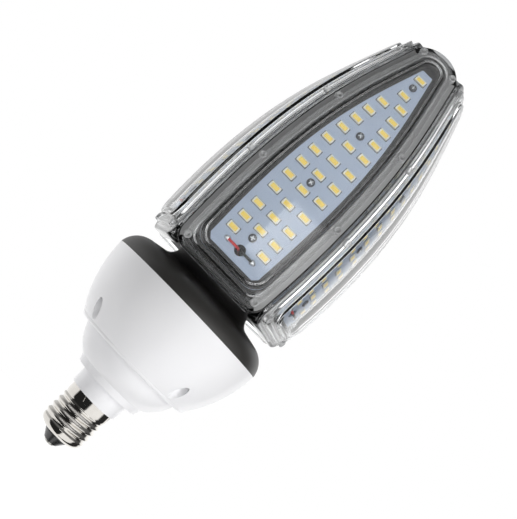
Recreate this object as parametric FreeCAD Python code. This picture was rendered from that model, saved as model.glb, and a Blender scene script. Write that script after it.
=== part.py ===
import FreeCAD, Part
import math
import os

# Corn LED bulb: five curved light panels round a metal core, on a screw cap.
# Lengths are millimetres. The origin is the tip of the centre contact, +Z runs up
# to the lamp's far end, and the first panel faces -Y.

# Screw cap
THREAD_CREST_R = 13.2
THREAD_DEPTH = 1.05
THREAD_PITCH = 3.629
THREAD_START_Z = 9.9
THREAD_END_Z = 25.2
CAP_BAND_R = 13.1
CAP_BAND_STEP = 0.2
CAP_BAND_RISE = 1.2
CAP_RIM_Z = 30.8
CAP_LIP_R = 7.6
CAP_LIP_Z = 6.0
CAP_DOME_TURNS = (20.0, 45.0, 70.0)
CAP_BAND_SHARES = (0.4, 0.7, 1.0)
ROWS_PER_PITCH = 8
SPANS_AROUND = 20
THREAD_FADE_TURNS = 0.5
CAP_WALL = 0.5
STAKE_COUNT = 4
STAKE_W = 4.6
STAKE_H = 3.2
STAKE_DEPTH = 0.35
STAKE_TURN = -6.8
INSULATOR_TIP_R = 4.1
INSULATOR_DISH_R = 10.6
INSULATOR_TOP_Z = 9.4
CONTACT_FLAT_R = 1.6
CONTACT_CROWN_R = 2.7
CONTACT_CROWN_H = 0.4
CONTACT_HEAD_R = 3.3
CONTACT_HEAD_H = 1.4
CONTACT_STEM_R = 1.3
CONTACT_STEM_TOP_Z = 11.0

# Driver housing, one white moulding
HOUSING_WALL = 2.2
SPIGOT_H = 4.0
SPIGOT_WALL = 2.0
SPIGOT_FIT = 0.1
NECK_R = 14.3
NECK_TOP_R = 14.8
NECK_H = 9.1
COLLET_R = 19.6
COLLET_TOP_R = 21.0
COLLET_H = 3.6
LOWER_BOWL_R = 31.0
LOWER_BOWL_H = 13.7
LOWER_BOWL_BULGE = 1.1
STEP_W = 5.3
STEP_EDGE_R = 1.6
BOWL_R = 48.6
BOWL_H = 38.6
BOWL_MID_SHARE = 0.667
BOWL_MID_H = 17.4
TONGUE_INSET = 4.0
TONGUE_WALL = 2.0
TONGUE_H = 2.5
TONGUE_FIT = 0.3
SHELF_DROP = 4.0
HOUSING_SCREW_COUNT = 4
HOUSING_SCREW_INSET = 9.0
SCOOP_R = 2.9
SCOOP_DEPTH = 18.5
TOWER_WALL = 1.5
HOUSING_SCREW_R = 1.6
HOUSING_SCREW_HEAD_R = 2.6
HOUSING_SCREW_HEAD_H = 2.2
HOUSING_SCREW_GRIP = 7.0
SCREW_CLEARANCE = 0.25
THREAD_FIT = 0.05

# Collar, one painted casting
SEAL_H = 1.5
COLLAR_WALL = 3.0
COLLAR_KNEE_SHARE = 0.872
COLLAR_KNEE_H = 7.0
COLLAR_SHOULDER_SHARE = 0.568
COLLAR_SHOULDER_H = 11.0
NECK_FILLET_SHARE = 0.2265
NECK_FILLET_H = 12.7
NECK_FILLET_TOP_H = 19.0
NECK_FILLET_SAG = 1.0
COLLAR_NECK_R = 25.2
NECK_PLATE_T = 4.0
COLLAR_BOSS_R = 2.7

# Light body: five like faces
SIDES = 5
COVER_BOTTOM_Z = 113.5
COVER_LENGTH = 169.5
FLANGE_RISES = (-12.0, 0.0, 26.5, 51.5, 81.5, 106.5, 131.5, 151.5, 169.5, 180.0)
FLANGE_APOTHEMS = (38.4, 39.7, 41.5, 41.8, 40.1, 36.4, 30.4, 24.4, 19.2, 16.4)
COVER_GAP = 1.0
COVER_WALL = 2.0
COVER_DEPTH = 7.0
COVER_CORNER_R = 8.0
TIP_R = 16.0
LEAVE_CORNER = 10.0
LEAVE_TIP = 20.0
TERRACE_INSET = 3.7
TERRACE_H = 2.2
WINDOW_INSET = 7.8
WINDOW_H = 4.4
COVER_BOSS_R = 2.1
COVER_BOSS_H = 0.5
BOSS_DIMPLE_R = 1.0
BOSS_DIMPLE_DEPTH = 0.8
COVER_BOSS_RISES = (58.0, 107.0)
CORNER_BOSS_ANGLE = 45.0
TIP_BOSS_ANGLE = 35.0
GASKET_W = 7.0
GASKET_CLEARANCE = 0.3

# Core, one casting
CORE_SEAT_GAP = 0.2
CORE_WALL = 5.5
CORE_FLOOR_T = 6.0
CORE_TOP_T = 6.0
CABLE_BORE_R = 11.0
CAVITY_STEPS = 4
COLLAR_SCREW_CIRCLE_R = 18.0
COLLAR_SCREW_R = 1.5
COLLAR_SCREW_HEAD_R = 2.8
COLLAR_SCREW_HEAD_H = 2.4
COLLAR_SCREW_GRIP = 5.0

# Light boards
BOARD_T = 1.6
BOARD_DROP = 2.0
PAD_MARGIN = 0.8
BOARD_BOTTOM_RISE = 12.2
BOARD_CHAMFER = 2.4
BOARD_RISES = (14.8, 36.5, 58.5, 86.5, 116.5, 131.5, 153.5)
BOARD_HALF_WIDTHS = (16.3, 17.2, 17.4, 16.0, 11.7, 8.6, 3.5)
LED_W = 5.7
LED_L = 3.0
LED_H = 0.9
LED_LIFT = 0.02
LEFT_LED_STEPS = (24.0, 7.7, 8.8, 11.0, 9.6, 9.2, 8.6, 9.0, 9.5, 8.5, 8.2, 8.6)
RIGHT_LED_STEPS = (24.0, 7.7, 9.2, 10.1, 10.7, 10.0, 10.2, 10.9, 9.4, 7.9, 8.0, 8.5)
MIDDLE_LED_STEPS = (32.0, 8.7, 9.3, 10.2, 10.9, 10.2, 10.8, 41.7, 13.3)
LED_COLUMN_S = 10.3
LED_EDGE_INSET = 5.3
BOARD_SCREW_RISES = (26.7, 65.6, 100.4, 141.0)
BOARD_SCREW_R = 1.5
BOARD_SCREW_HEAD_R = 2.15
BOARD_SCREW_HEAD_H = 1.3
BOARD_SCREW_GRIP = 5.0
LEAD_HOLE_R = 2.9
LEAD_HOLE_RISE = 18.3
SOLDER_S = 8.4
SOLDER_R = 1.4
SOLDER_TOP_R = 0.65
SOLDER_H = 1.2
LEAD_R = 0.7
LEAD_LIFT = 0.05
LEAD_SPACING = 1.2
LEAD_BEND_R = 1.6
LEAD_BUNDLE_R = 7.5

# Driver
DRIVER_BOARD_CLEARANCE = 5.2
DRIVER_BOARD_T = 1.6
DRIVER_BOARD_DROP = 9.8
POST_COUNT = 3
POST_INSET = 4.5
POST_R = 3.2
POST_ANGLE = 30.0
DRIVER_SCREW_R = 1.2
DRIVER_SCREW_HEAD_R = 2.4
DRIVER_SCREW_HEAD_H = 1.7
DRIVER_SCREW_GRIP = 6.0
TRANSFORMER_CORE = (16.0, 13.0, 15.0)
TRANSFORMER_COIL_R = 7.6
TRANSFORMER_COIL_H = 10.0
TRANSFORMER_X = 12.5
INPUT_CAPACITOR_R = 5.0
INPUT_CAPACITOR_H = 18.0
OUTPUT_CAPACITOR_R = 6.25
OUTPUT_CAPACITOR_H = 20.0
CHOKE_R = 5.0
CHOKE_WIRE_R = 2.6
RECTIFIER = (8.0, 3.2, 10.0)
FUSE_R = 4.2
FUSE_H = 8.0
MAINS_LEAD_R = 0.8
MAINS_BEND_R = 2.4
MAINS_LEAD_X = 4.0
SHELL_JOINT_Z = 20.0
INPUT_CAPACITOR_AT = (-13.0, -8.0)
OUTPUT_CAPACITOR_AT = (-13.0, 8.0)
CHOKE_GAP = 2.0
RECTIFIER_AT = (1.0, 14.0)
FUSE_AT = (1.0, 22.5)

# How closely the flange's curve is read
HALVINGS = 40

# Places that follow from the sizes
TURN = 360.0 / SIDES
SLOPE = math.tan(math.radians(TURN / 2.0))
MITRE = math.cos(math.radians(TURN / 2.0))
COVER_TOP_Z = COVER_BOTTOM_Z + COVER_LENGTH
TIP_CENTRE_Z = COVER_TOP_Z - TIP_R
SKIN_TOP_Z = THREAD_END_Z + CAP_BAND_RISE
NECK_TOP_Z = CAP_RIM_Z + NECK_H
COLLET_TOP_Z = NECK_TOP_Z + COLLET_H
STEP_Z = COLLET_TOP_Z + LOWER_BOWL_H
SEAM_Z = STEP_Z + BOWL_H
STEP_R = LOWER_BOWL_R + STEP_W
BOWL_MID_R = STEP_R + BOWL_MID_SHARE * (BOWL_R - STEP_R)
TONGUE_R = BOWL_R - TONGUE_INSET
HOUSING_SCREW_CIRCLE_R = BOWL_R - HOUSING_SCREW_INSET
DRIVER_BOARD_R = HOUSING_SCREW_CIRCLE_R - SCOOP_R - TOWER_WALL - DRIVER_BOARD_CLEARANCE
POST_CIRCLE_R = DRIVER_BOARD_R - POST_INSET
BELL_W = BOWL_R - COLLAR_NECK_R
COLLAR_KNEE_R = COLLAR_NECK_R + COLLAR_KNEE_SHARE * BELL_W
COLLAR_SHOULDER_R = COLLAR_NECK_R + COLLAR_SHOULDER_SHARE * BELL_W
NECK_FILLET_R = COLLAR_NECK_R + NECK_FILLET_SHARE * BELL_W
SPIGOT_R = CAP_BAND_R - CAP_WALL - SPIGOT_FIT
SPIGOT_Z = CAP_RIM_Z - SPIGOT_H
BORE_R = SPIGOT_R - SPIGOT_WALL
CORE_BOTTOM_Z = COVER_BOTTOM_Z + COVER_WALL + CORE_SEAT_GAP
CORE_TOP_Z = COVER_TOP_Z - COVER_WALL - CORE_SEAT_GAP
PAD_DROP = BOARD_DROP + BOARD_T
SCREW_SEAT_Z = STEP_Z + SCOOP_DEPTH
DRIVER_TOP_Z = SEAM_Z - DRIVER_BOARD_DROP
DRIVER_BOTTOM_Z = DRIVER_TOP_Z - DRIVER_BOARD_T
CHOKE_Y = -(TRANSFORMER_CORE[1] / 2.0 + CHOKE_GAP + CHOKE_WIRE_R)
REACH = 3.0 * BOWL_R
ORIGIN = FreeCAD.Vector(0, 0, 0)
UP = FreeCAD.Vector(0, 0, 1)
OUT = FreeCAD.Vector(0, -1, 0)
ACROSS = FreeCAD.Vector(1, 0, 0)

os.makedirs("parts", exist_ok=True)


def save(shape, name):
    shape.exportStep("parts/" + name + ".step")


def save_group(solids, name):
    save(Part.makeCompound(solids), name)


def radial(r, z):
    return FreeCAD.Vector(r, 0, z)


def lines(points, closed=True):
    """Straight edges from point to point, and back to the first if closed."""
    ends = points[1:] + points[:1] if closed else points[1:]
    return [Part.makeLine(a, b) for a, b in zip(points, ends)]


def arc(a, b, c):
    return Part.Arc(a, b, c).toShape()


def revolve(edges):
    """Turns a closed profile in the XZ plane round the lamp's axis."""
    face = Part.Face(Part.Wire(Part.__sortEdges__(edges)))
    return face.revolve(ORIGIN, UP, 360)


def turned(*profile):
    return revolve(lines([radial(r, z) for r, z in profile]))


def rod(r, z0, z1, x=0.0, y=0.0):
    return Part.makeCylinder(r, z1 - z0, FreeCAD.Vector(x, y, z0), UP)


def box_at(size, x, y, top):
    corner = FreeCAD.Vector(x - size[0] / 2.0, y - size[1] / 2.0, top - size[2])
    return Part.makeBox(size[0], size[1], size[2], corner)


def spun(shape, angle):
    """A copy turned about the lamp's axis."""
    copy = shape.copy()
    copy.rotate(ORIGIN, UP, angle)
    return copy


def ring_of(shape, count, first=0.0):
    return [spun(shape, first + 360.0 * i / count) for i in range(count)]


def headed_screw(shank_r, head_r, head_h, length):
    """A pan-head screw along +Z: its head's seat is at zero and its shank runs down."""
    head = Part.makeCylinder(head_r, head_h)
    shank = Part.makeCylinder(shank_r, length, FreeCAD.Vector(0, 0, -length), UP)
    return head.fuse(shank).removeSplitter()


def flipped(shape, x, y, z):
    """A copy upside down, with its origin at a place."""
    copy = shape.copy()
    copy.rotate(ORIGIN, ACROSS, 180)
    copy.translate(FreeCAD.Vector(x, y, z))
    return copy


def lead(points, r, bend):
    """A round wire along straight runs with an arc at each corner."""
    edges = []
    start = points[0]
    for before, corner, after in zip(points, points[1:], points[2:]):
        back = (before - corner).normalize()
        ahead = (after - corner).normalize()
        turn = math.pi - back.getAngle(ahead)
        trim = bend * math.tan(turn / 2.0)
        enter = corner + back * trim
        leave = corner + ahead * trim
        half = (back + ahead).normalize()
        middle = corner + half * (bend / math.cos(turn / 2.0) - bend)
        edges.append(Part.makeLine(start, enter))
        edges.append(arc(enter, middle, leave))
        start = leave
    edges.append(Part.makeLine(start, points[-1]))
    path = Part.Wire(edges)
    section = Part.Wire(Part.makeCircle(r, points[0], points[1] - points[0]))
    return path.makePipeShell([section], True, False)


# Screw cap

def cap_rows():
    """Rows of the shell's skin from lip to rim: radius, height and share of thread."""
    middle = THREAD_CREST_R - THREAD_DEPTH / 2.0
    rows = [(CAP_LIP_R, CAP_LIP_Z, 0.0)]
    dome = THREAD_START_Z - CAP_LIP_Z
    for turn in CAP_DOME_TURNS:
        swing = math.radians(turn)
        rows.append((CAP_LIP_R + (middle - CAP_LIP_R) * math.sin(swing),
                     CAP_LIP_Z + dome * (1.0 - math.cos(swing)), 0.0))
    length = THREAD_END_Z - THREAD_START_Z
    fade = THREAD_FADE_TURNS * THREAD_PITCH
    steps = int(round(length / THREAD_PITCH * ROWS_PER_PITCH))
    for i in range(steps + 1):
        z = THREAD_START_Z + length * i / steps
        share = min(1.0, (z - THREAD_START_Z) / fade, (THREAD_END_Z - z) / fade)
        rows.append((middle, z, share * share * (3.0 - 2.0 * share)))
    for share in CAP_BAND_SHARES:
        rows.append((CAP_BAND_R - CAP_BAND_STEP, THREAD_END_Z + (SKIN_TOP_Z - THREAD_END_Z) * share, 0.0))
    return rows


def pole_gain(count):
    """How far a cubic's poles must overshoot a wave of so many spans a turn."""
    return 3.0 / (2.0 + math.cos(2.0 * math.pi / count))


def cap_skin(inward):
    """One closed surface with the formed thread in its rows of poles."""
    rows = cap_rows()
    swing = pole_gain(ROWS_PER_PITCH) * THREAD_DEPTH / 2.0
    poles = []
    for j in range(SPANS_AROUND):
        angle = 2.0 * math.pi * j / SPANS_AROUND
        column = []
        for r, z, share in rows:
            wave = math.cos(2.0 * math.pi * z / THREAD_PITCH - angle)
            out = (r - inward + share * wave * swing) * pole_gain(SPANS_AROUND)
            column.append(FreeCAD.Vector(out * math.cos(angle), out * math.sin(angle), z))
        poles.append(column)
    around = [float(i) for i in range(SPANS_AROUND + 1)]
    up_mults = [4] + [1] * (len(rows) - 4) + [4]
    up_knots = [float(i) for i in range(len(up_mults))]
    surface = Part.BSplineSurface()
    surface.buildFromPolesMultsKnots(poles, [1] * len(around), up_mults, around, up_knots, True, False, 3, 3)
    return surface.toShape()


def make_cap_shell():
    skins = [cap_skin(0.0), cap_skin(CAP_WALL)]
    faces = list(skins)
    for z in (CAP_LIP_Z, SKIN_TOP_Z):
        rims = []
        for skin in skins:
            rims += [e for e in skin.Edges if abs(e.CenterOfMass.z - z) < THREAD_FIT and e.Closed]
        disc = Part.Face(Part.Wire(rims[0]))
        faces += disc.cut(Part.Face(Part.Wire(rims[1]))).Faces
    sleeve = rod(CAP_BAND_R, SKIN_TOP_Z, CAP_RIM_Z).cut(rod(CAP_BAND_R - CAP_WALL, SKIN_TOP_Z, CAP_RIM_Z))
    shell = Part.Solid(Part.Shell(faces)).fuse(sleeve)
    tip = FreeCAD.Vector(0, -CAP_BAND_R + STAKE_DEPTH, CAP_RIM_Z - STAKE_H)
    left = FreeCAD.Vector(-STAKE_W / 2.0, tip.y, CAP_RIM_Z + STAKE_H)
    right = FreeCAD.Vector(STAKE_W / 2.0, tip.y, CAP_RIM_Z + STAKE_H)
    stake = Part.Face(Part.Wire(lines([tip, left, right]))).extrude(OUT * STAKE_W)
    return shell.cut(Part.makeCompound(ring_of(stake, STAKE_COUNT, STAKE_TURN)))


def make_cap_insulator():
    lip_in = CAP_LIP_R - CAP_WALL
    dish_r = INSULATOR_DISH_R - CAP_WALL
    body = turned((0, CONTACT_HEAD_H), (INSULATOR_TIP_R, CONTACT_HEAD_H), (lip_in, CAP_LIP_Z - CAP_WALL),
                  (lip_in - THREAD_FIT, CAP_LIP_Z + CAP_WALL), (dish_r, INSULATOR_TOP_Z - CAP_WALL),
                  (dish_r, INSULATOR_TOP_Z), (0, INSULATOR_TOP_Z))
    return body.cut(rod(CONTACT_STEM_R, 0, INSULATOR_TOP_Z + 1))


def make_cap_contact():
    flat = radial(CONTACT_FLAT_R, 0)
    edge = radial(CONTACT_HEAD_R, CONTACT_HEAD_H)
    crown = arc(flat, radial(CONTACT_CROWN_R, CONTACT_CROWN_H), edge)
    rest = lines([edge, radial(CONTACT_STEM_R, CONTACT_HEAD_H), radial(CONTACT_STEM_R, CONTACT_STEM_TOP_Z),
                  radial(0, CONTACT_STEM_TOP_Z), radial(0, 0), flat], closed=False)
    return revolve([crown] + rest)


save(make_cap_shell(), "cap_shell")
save(make_cap_insulator(), "cap_insulator")
save(make_cap_contact(), "cap_contact")


# Driver housing

def housing_outer():
    """The outer edges from the spigot's foot up to the tongue's top."""
    bulge = radial((COLLET_TOP_R + LOWER_BOWL_R) / 2.0 + LOWER_BOWL_BULGE,
                   (COLLET_TOP_Z + STEP_Z) / 2.0 - LOWER_BOWL_BULGE)
    edge_side = radial(STEP_R, STEP_Z + STEP_EDGE_R)
    edge_under = radial(STEP_R - STEP_EDGE_R, STEP_Z)
    edge_in = STEP_EDGE_R * (1.0 - math.cos(math.radians(45.0)))
    edge_mid = radial(STEP_R - edge_in, STEP_Z + edge_in)
    foot = [radial(SPIGOT_R, SPIGOT_Z), radial(SPIGOT_R, CAP_RIM_Z), radial(NECK_R, CAP_RIM_Z),
            radial(NECK_TOP_R, NECK_TOP_Z), radial(COLLET_R, NECK_TOP_Z), radial(COLLET_TOP_R, COLLET_TOP_Z)]
    rim = [radial(BOWL_R, SEAM_Z), radial(TONGUE_R, SEAM_Z), radial(TONGUE_R, SEAM_Z + TONGUE_H)]
    return (lines(foot, closed=False)
            + [arc(foot[-1], bulge, radial(LOWER_BOWL_R, STEP_Z)),
               Part.makeLine(radial(LOWER_BOWL_R, STEP_Z), edge_under),
               arc(edge_under, edge_mid, edge_side),
               arc(edge_side, radial(BOWL_MID_R, STEP_Z + BOWL_MID_H), rim[0])]
            + lines(rim, closed=False))


def housing_inner():
    """The inner edges from the tongue's top down to the spigot's foot."""
    tongue_in = TONGUE_R - TONGUE_WALL
    shelf = [radial(tongue_in, SEAM_Z + TONGUE_H), radial(tongue_in, SEAM_Z - SHELF_DROP),
             radial(BOWL_R - HOUSING_WALL, SEAM_Z - 2.0 * SHELF_DROP)]
    step_in = radial(STEP_R - HOUSING_WALL, STEP_Z + HOUSING_WALL)
    floor = [step_in, radial(LOWER_BOWL_R - HOUSING_WALL, STEP_Z + HOUSING_WALL / 2.0),
             radial(COLLET_TOP_R - HOUSING_WALL, COLLET_TOP_Z + HOUSING_WALL), radial(BORE_R, COLLET_TOP_Z),
             radial(BORE_R, SPIGOT_Z)]
    middle = radial(BOWL_MID_R - HOUSING_WALL, STEP_Z + BOWL_MID_H)
    return lines(shelf, closed=False) + [arc(shelf[-1], middle, step_in)] + lines(floor, closed=False)


def make_housing():
    top = SEAM_Z + TONGUE_H
    ends = lines([radial(TONGUE_R, top), radial(TONGUE_R - TONGUE_WALL, top)], closed=False)
    foot = lines([radial(BORE_R, SPIGOT_Z), radial(SPIGOT_R, SPIGOT_Z)], closed=False)
    wall = revolve(housing_outer() + ends + housing_inner() + foot)
    core = lines([radial(TONGUE_R, top), radial(0, top), radial(0, SPIGOT_Z), radial(SPIGOT_R, SPIGOT_Z)],
                 closed=False)
    envelope = revolve(housing_outer() + core)
    first = 180.0 / HOUSING_SCREW_COUNT
    tower = rod(SCOOP_R + TOWER_WALL, STEP_Z, SEAM_Z, 0, -HOUSING_SCREW_CIRCLE_R)
    post = rod(POST_R, COLLET_TOP_Z, DRIVER_BOTTOM_Z, 0, -POST_CIRCLE_R)
    ribs = ring_of(tower, HOUSING_SCREW_COUNT, first) + ring_of(post, POST_COUNT, POST_ANGLE)
    body = wall.fuse([rib.common(envelope) for rib in ribs])
    scoop = rod(SCOOP_R, NECK_TOP_Z, SCREW_SEAT_Z, 0, -HOUSING_SCREW_CIRCLE_R)
    shank = rod(HOUSING_SCREW_R + SCREW_CLEARANCE, SCREW_SEAT_Z - 1, SEAM_Z + 1, 0, -HOUSING_SCREW_CIRCLE_R)
    pilot = rod(DRIVER_SCREW_R + THREAD_FIT, DRIVER_BOTTOM_Z - DRIVER_SCREW_GRIP - 1, DRIVER_BOTTOM_Z + 1,
                0, -POST_CIRCLE_R)
    cuts = ring_of(scoop.fuse(shank), HOUSING_SCREW_COUNT, first) + ring_of(pilot, POST_COUNT, POST_ANGLE)
    return body.cut(Part.makeCompound(cuts))


def make_housing_screws():
    length = SEAM_Z - SCREW_SEAT_Z + HOUSING_SCREW_GRIP
    screw = headed_screw(HOUSING_SCREW_R, HOUSING_SCREW_HEAD_R, HOUSING_SCREW_HEAD_H, length)
    placed = flipped(screw, 0, -HOUSING_SCREW_CIRCLE_R, SCREW_SEAT_Z)
    return ring_of(placed, HOUSING_SCREW_COUNT, 180.0 / HOUSING_SCREW_COUNT)


save(make_housing(), "driver_housing")
save_group(make_housing_screws(), "housing_screws")


# Collar and the seal under it

def make_collar():
    rim_r = TONGUE_R + TONGUE_FIT
    ledge_z = SEAM_Z + TONGUE_H + SEAL_H
    neck_in = COLLAR_NECK_R - COLLAR_WALL
    plate_z = CORE_BOTTOM_Z - NECK_PLATE_T
    inner_knee = radial(COLLAR_SHOULDER_R, SEAM_Z + COLLAR_SHOULDER_H - COLLAR_WALL)
    ledge_in = radial(TONGUE_R - TONGUE_WALL - TONGUE_FIT, ledge_z)
    fillet_foot = radial(NECK_FILLET_R, SEAM_Z + NECK_FILLET_H)
    fillet_top = radial(COLLAR_NECK_R, SEAM_Z + NECK_FILLET_TOP_H)
    fillet_mid = (fillet_foot + fillet_top) * 0.5 + radial(-NECK_FILLET_SAG, -NECK_FILLET_SAG)
    shoulder = radial(COLLAR_SHOULDER_R, SEAM_Z + COLLAR_SHOULDER_H)
    outer = [arc(radial(BOWL_R, SEAM_Z), radial(COLLAR_KNEE_R, SEAM_Z + COLLAR_KNEE_H), shoulder),
             Part.makeLine(shoulder, fillet_foot), arc(fillet_foot, fillet_mid, fillet_top)]
    neck = lines([fillet_top, radial(COLLAR_NECK_R, CORE_BOTTOM_Z), radial(CABLE_BORE_R, CORE_BOTTOM_Z),
                  radial(CABLE_BORE_R, plate_z), radial(neck_in, plate_z),
                  radial(neck_in, SEAM_Z + NECK_FILLET_H - COLLAR_WALL), inner_knee, ledge_in,
                  radial(rim_r, ledge_z), radial(rim_r, SEAM_Z), radial(BOWL_R, SEAM_Z)], closed=False)
    bell = revolve(outer + neck)
    envelope = revolve(outer + lines([fillet_top, radial(0, fillet_top.z), radial(0, SEAM_Z),
                                      radial(BOWL_R, SEAM_Z)], closed=False))
    boss = rod(COLLAR_BOSS_R, SEAM_Z, inner_knee.z + 1, 0, -HOUSING_SCREW_CIRCLE_R).common(envelope)
    pilot = rod(HOUSING_SCREW_R + THREAD_FIT, SEAM_Z - 1, SEAM_Z + HOUSING_SCREW_GRIP + 1, 0,
                -HOUSING_SCREW_CIRCLE_R)
    first = 180.0 / HOUSING_SCREW_COUNT
    body = bell.fuse(ring_of(boss, HOUSING_SCREW_COUNT, first))
    hole = rod(COLLAR_SCREW_R + SCREW_CLEARANCE, plate_z - 1, CORE_BOTTOM_Z + 1, 0, -COLLAR_SCREW_CIRCLE_R)
    cuts = ring_of(pilot, HOUSING_SCREW_COUNT, first) + ring_of(hole, SIDES, TURN / 2.0)
    return body.cut(Part.makeCompound(cuts))


def make_housing_seal():
    low = SEAM_Z + TONGUE_H
    inner = TONGUE_R - TONGUE_WALL
    return turned((inner, low), (TONGUE_R, low), (TONGUE_R, low + SEAL_H), (inner, low + SEAL_H))


def make_collar_screws():
    length = NECK_PLATE_T + COLLAR_SCREW_GRIP
    screw = headed_screw(COLLAR_SCREW_R, COLLAR_SCREW_HEAD_R, COLLAR_SCREW_HEAD_H, length)
    placed = flipped(screw, 0, -COLLAR_SCREW_CIRCLE_R, CORE_BOTTOM_Z - NECK_PLATE_T)
    return ring_of(placed, SIDES, TURN / 2.0)


save(make_collar(), "collar")
save(make_housing_seal(), "housing_seal")
save_group(make_collar_screws(), "collar_screws")


# Faces of the light body: each is drawn on the -Y side, across X and up Z

def flange_curve(lift):
    """The side view of the covers' flange, moved outwards by a lift."""
    curve = Part.BSplineCurve()
    curve.interpolate([FreeCAD.Vector(0, -(a + lift), COVER_BOTTOM_Z + rise)
                       for rise, a in zip(FLANGE_RISES, FLANGE_APOTHEMS)])
    return curve


FLANGE = flange_curve(0.0)


def flange_at(z):
    """The parameter, apothem and outward tilt of the flange at a height."""
    low, high = FLANGE.FirstParameter, FLANGE.LastParameter
    for _ in range(HALVINGS):
        middle = (low + high) / 2.0
        if FLANGE.value(middle).z < z:
            low = middle
        else:
            high = middle
    along = FLANGE.tangent(low)[0]
    return -FLANGE.value(low).y, math.degrees(math.atan2(along.y, along.z))


def seated(shape, s, rise, lift):
    """Sets a shape, modelled along +Z, on a face at a side step, a rise and a lift."""
    z = COVER_BOTTOM_Z + rise
    apothem, tilt = flange_at(z)
    copy = shape.copy()
    copy.rotate(ORIGIN, ACROSS, 90.0 - tilt)
    copy.translate(FreeCAD.Vector(s, -(apothem + lift), z))
    return copy


def band(low_lift, high_lift):
    """All that lies between two lifts of the flange's curve."""
    low = flange_curve(low_lift)
    high = flange_curve(high_lift)
    foot = Part.makeLine(low.value(low.FirstParameter), high.value(high.FirstParameter))
    head = Part.makeLine(low.value(low.LastParameter), high.value(high.LastParameter))
    edges = [low.toShape(), high.toShape(), foot, head]
    face = Part.Face(Part.Wire(Part.__sortEdges__(edges)))
    face.translate(ACROSS * -REACH)
    return face.extrude(ACROSS * 2.0 * REACH)


def facing(s, z):
    return FreeCAD.Vector(s, 0, z)


def mirrored(p):
    return FreeCAD.Vector(-p.x, p.y, p.z)


def prism(right_side):
    """Extrudes outwards an outline given by its right side, bottom to top."""
    edges = []
    for kind, points in right_side:
        for mirror in (False, True):
            ps = [mirrored(p) for p in points] if mirror else points
            if kind == "line":
                edges += lines(ps, closed=False)
            elif kind == "arc":
                edges.append(arc(*ps))
            else:
                curve = Part.BSplineCurve()
                curve.interpolate(ps)
                edges.append(curve.toShape())
    bottom = right_side[0][1][0]
    top = right_side[-1][1][-1]
    edges.append(Part.makeLine(bottom, mirrored(bottom)))
    if top.x > 0:
        edges.append(Part.makeLine(top, mirrored(top)))
    face = Part.Face(Part.Wire(Part.__sortEdges__(edges)))
    return face.extrude(OUT * REACH)


def on_arc(centre, r, angle):
    turn = math.radians(angle)
    return centre + facing(r * math.cos(turn), r * math.sin(turn))


def face_half_width(z, inset):
    return SLOPE * flange_at(z)[0] - COVER_GAP - inset


def ends_prism(inset):
    """The cover's rounded ends, with sides left wide for the mitre to trim."""
    tip = facing(0, TIP_CENTRE_Z)
    r = TIP_R - inset
    corner_r = COVER_CORNER_R - inset
    corner_z = COVER_BOTTOM_Z + inset + corner_r
    corner = facing(face_half_width(corner_z, inset / MITRE) - corner_r, corner_z)
    wide = REACH / 2.0
    low = on_arc(corner, corner_r, -LEAVE_CORNER)
    high = on_arc(tip, r, LEAVE_TIP)
    low_wide = low + on_arc(ORIGIN, COVER_CORNER_R, 90 - LEAVE_CORNER)
    high_wide = high + on_arc(ORIGIN, 2.0 * TIP_R, LEAVE_TIP - 90)
    outer_low = facing(wide, low_wide.z)
    outer_high = facing(wide, high_wide.z)
    return prism([("arc", [on_arc(corner, corner_r, -90), on_arc(corner, corner_r, -45), low]),
                  ("line", [low, low_wide, outer_low, outer_high, high_wide, high]),
                  ("arc", [high, on_arc(tip, r, 45), on_arc(tip, r, 90)])])


def mitre_wedge(inset):
    """The share of the lamp that belongs to one face, kept clear of its neighbours."""
    gap = COVER_GAP + inset / MITRE
    apex = gap / SLOPE
    far = REACH / 2.0
    low = COVER_BOTTOM_Z - COVER_DEPTH
    corners = [FreeCAD.Vector(0, -apex, low), FreeCAD.Vector(-(SLOPE * far - gap), -far, low),
               FreeCAD.Vector(SLOPE * far - gap, -far, low)]
    return Part.Face(Part.Wire(lines(corners))).extrude(UP * (COVER_LENGTH + 2.0 * COVER_DEPTH))


def tray(inset, low_lift, high_lift):
    """The cover's mitred tray, drawn in by an inset."""
    return ends_prism(inset).common(mitre_wedge(inset)).common(band(low_lift, high_lift))


def step_corner(inset):
    corner_z = COVER_BOTTOM_Z + inset + COVER_CORNER_R
    return facing(face_half_width(corner_z, inset) - COVER_CORNER_R, corner_z)


def step_prism(inset):
    """A terrace or window outline that follows the cover's edge at an inset."""
    corner = step_corner(inset)
    tip = facing(0, TIP_CENTRE_Z)
    r = TIP_R - inset
    leave = on_arc(tip, r, LEAVE_TIP)
    foot_rise = COVER_CORNER_R + inset
    tip_rise = COVER_LENGTH - TIP_R - inset
    rises = [rise for rise in FLANGE_RISES if foot_rise < rise < tip_rise]
    side = [on_arc(corner, COVER_CORNER_R, 0)]
    side += [facing(face_half_width(COVER_BOTTOM_Z + rise, inset), COVER_BOTTOM_Z + rise) for rise in rises]
    side.append(leave)
    turn_in = [on_arc(corner, COVER_CORNER_R, -90), on_arc(corner, COVER_CORNER_R, -45), side[0]]
    return prism([("arc", turn_in),
                  ("curve", side),
                  ("arc", [leave, on_arc(tip, r, 45), on_arc(tip, r, 90)])])


def step_layer(inset, low_lift, high_lift):
    return step_prism(inset).common(band(low_lift, high_lift))


# Core casting with its five pads

def board_half_width(rise):
    for i in range(len(BOARD_RISES) - 1):
        if BOARD_RISES[i] <= rise <= BOARD_RISES[i + 1]:
            share = (rise - BOARD_RISES[i]) / (BOARD_RISES[i + 1] - BOARD_RISES[i])
            return BOARD_HALF_WIDTHS[i] + share * (BOARD_HALF_WIDTHS[i + 1] - BOARD_HALF_WIDTHS[i])
    return BOARD_HALF_WIDTHS[-1]


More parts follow.
